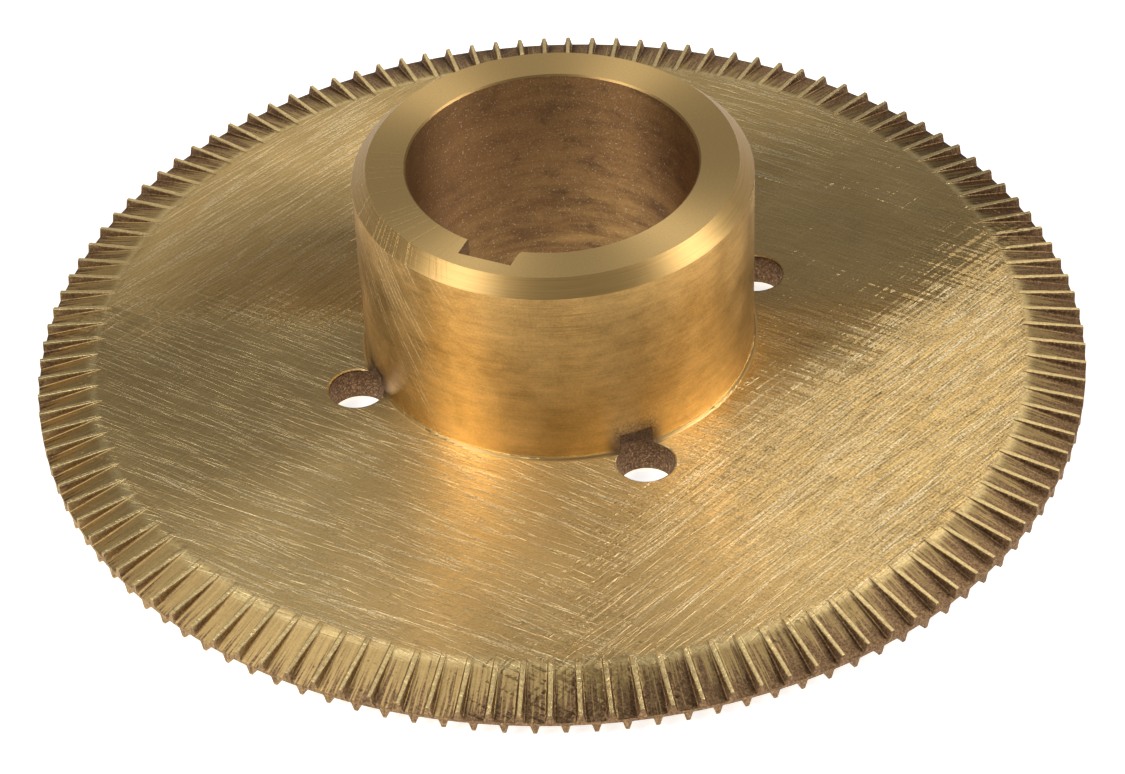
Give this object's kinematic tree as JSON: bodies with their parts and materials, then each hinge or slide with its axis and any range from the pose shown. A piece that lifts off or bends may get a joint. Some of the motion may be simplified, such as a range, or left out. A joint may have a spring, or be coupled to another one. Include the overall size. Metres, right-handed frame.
{
  "type": "worm wheel",
  "caption": "Thin disc with fine radial teeth cut on both faces of its rim, on a tall keyed hub with through holes round its foot.",
  "frame": {"origin": "centre of the disc's back face, on the bore's axis", "axes": "+Z along the bore towards the hub's nose; the keyway opens towards -Y and the holes lie at 45 degrees to it"},
  "size_m": [0.094, 0.094, 0.0222],
  "materials": {
    "disc_brass": "linished, with fine crossing scratches and brown patina between the teeth",
    "hub_brass": "turned satin outside, brown grainy patina in the bore"
  },
  "bodies": {
    "root": {"toothed_disc": "disc_brass", "hub": "hub_brass"}
  },
  "joints": []
}
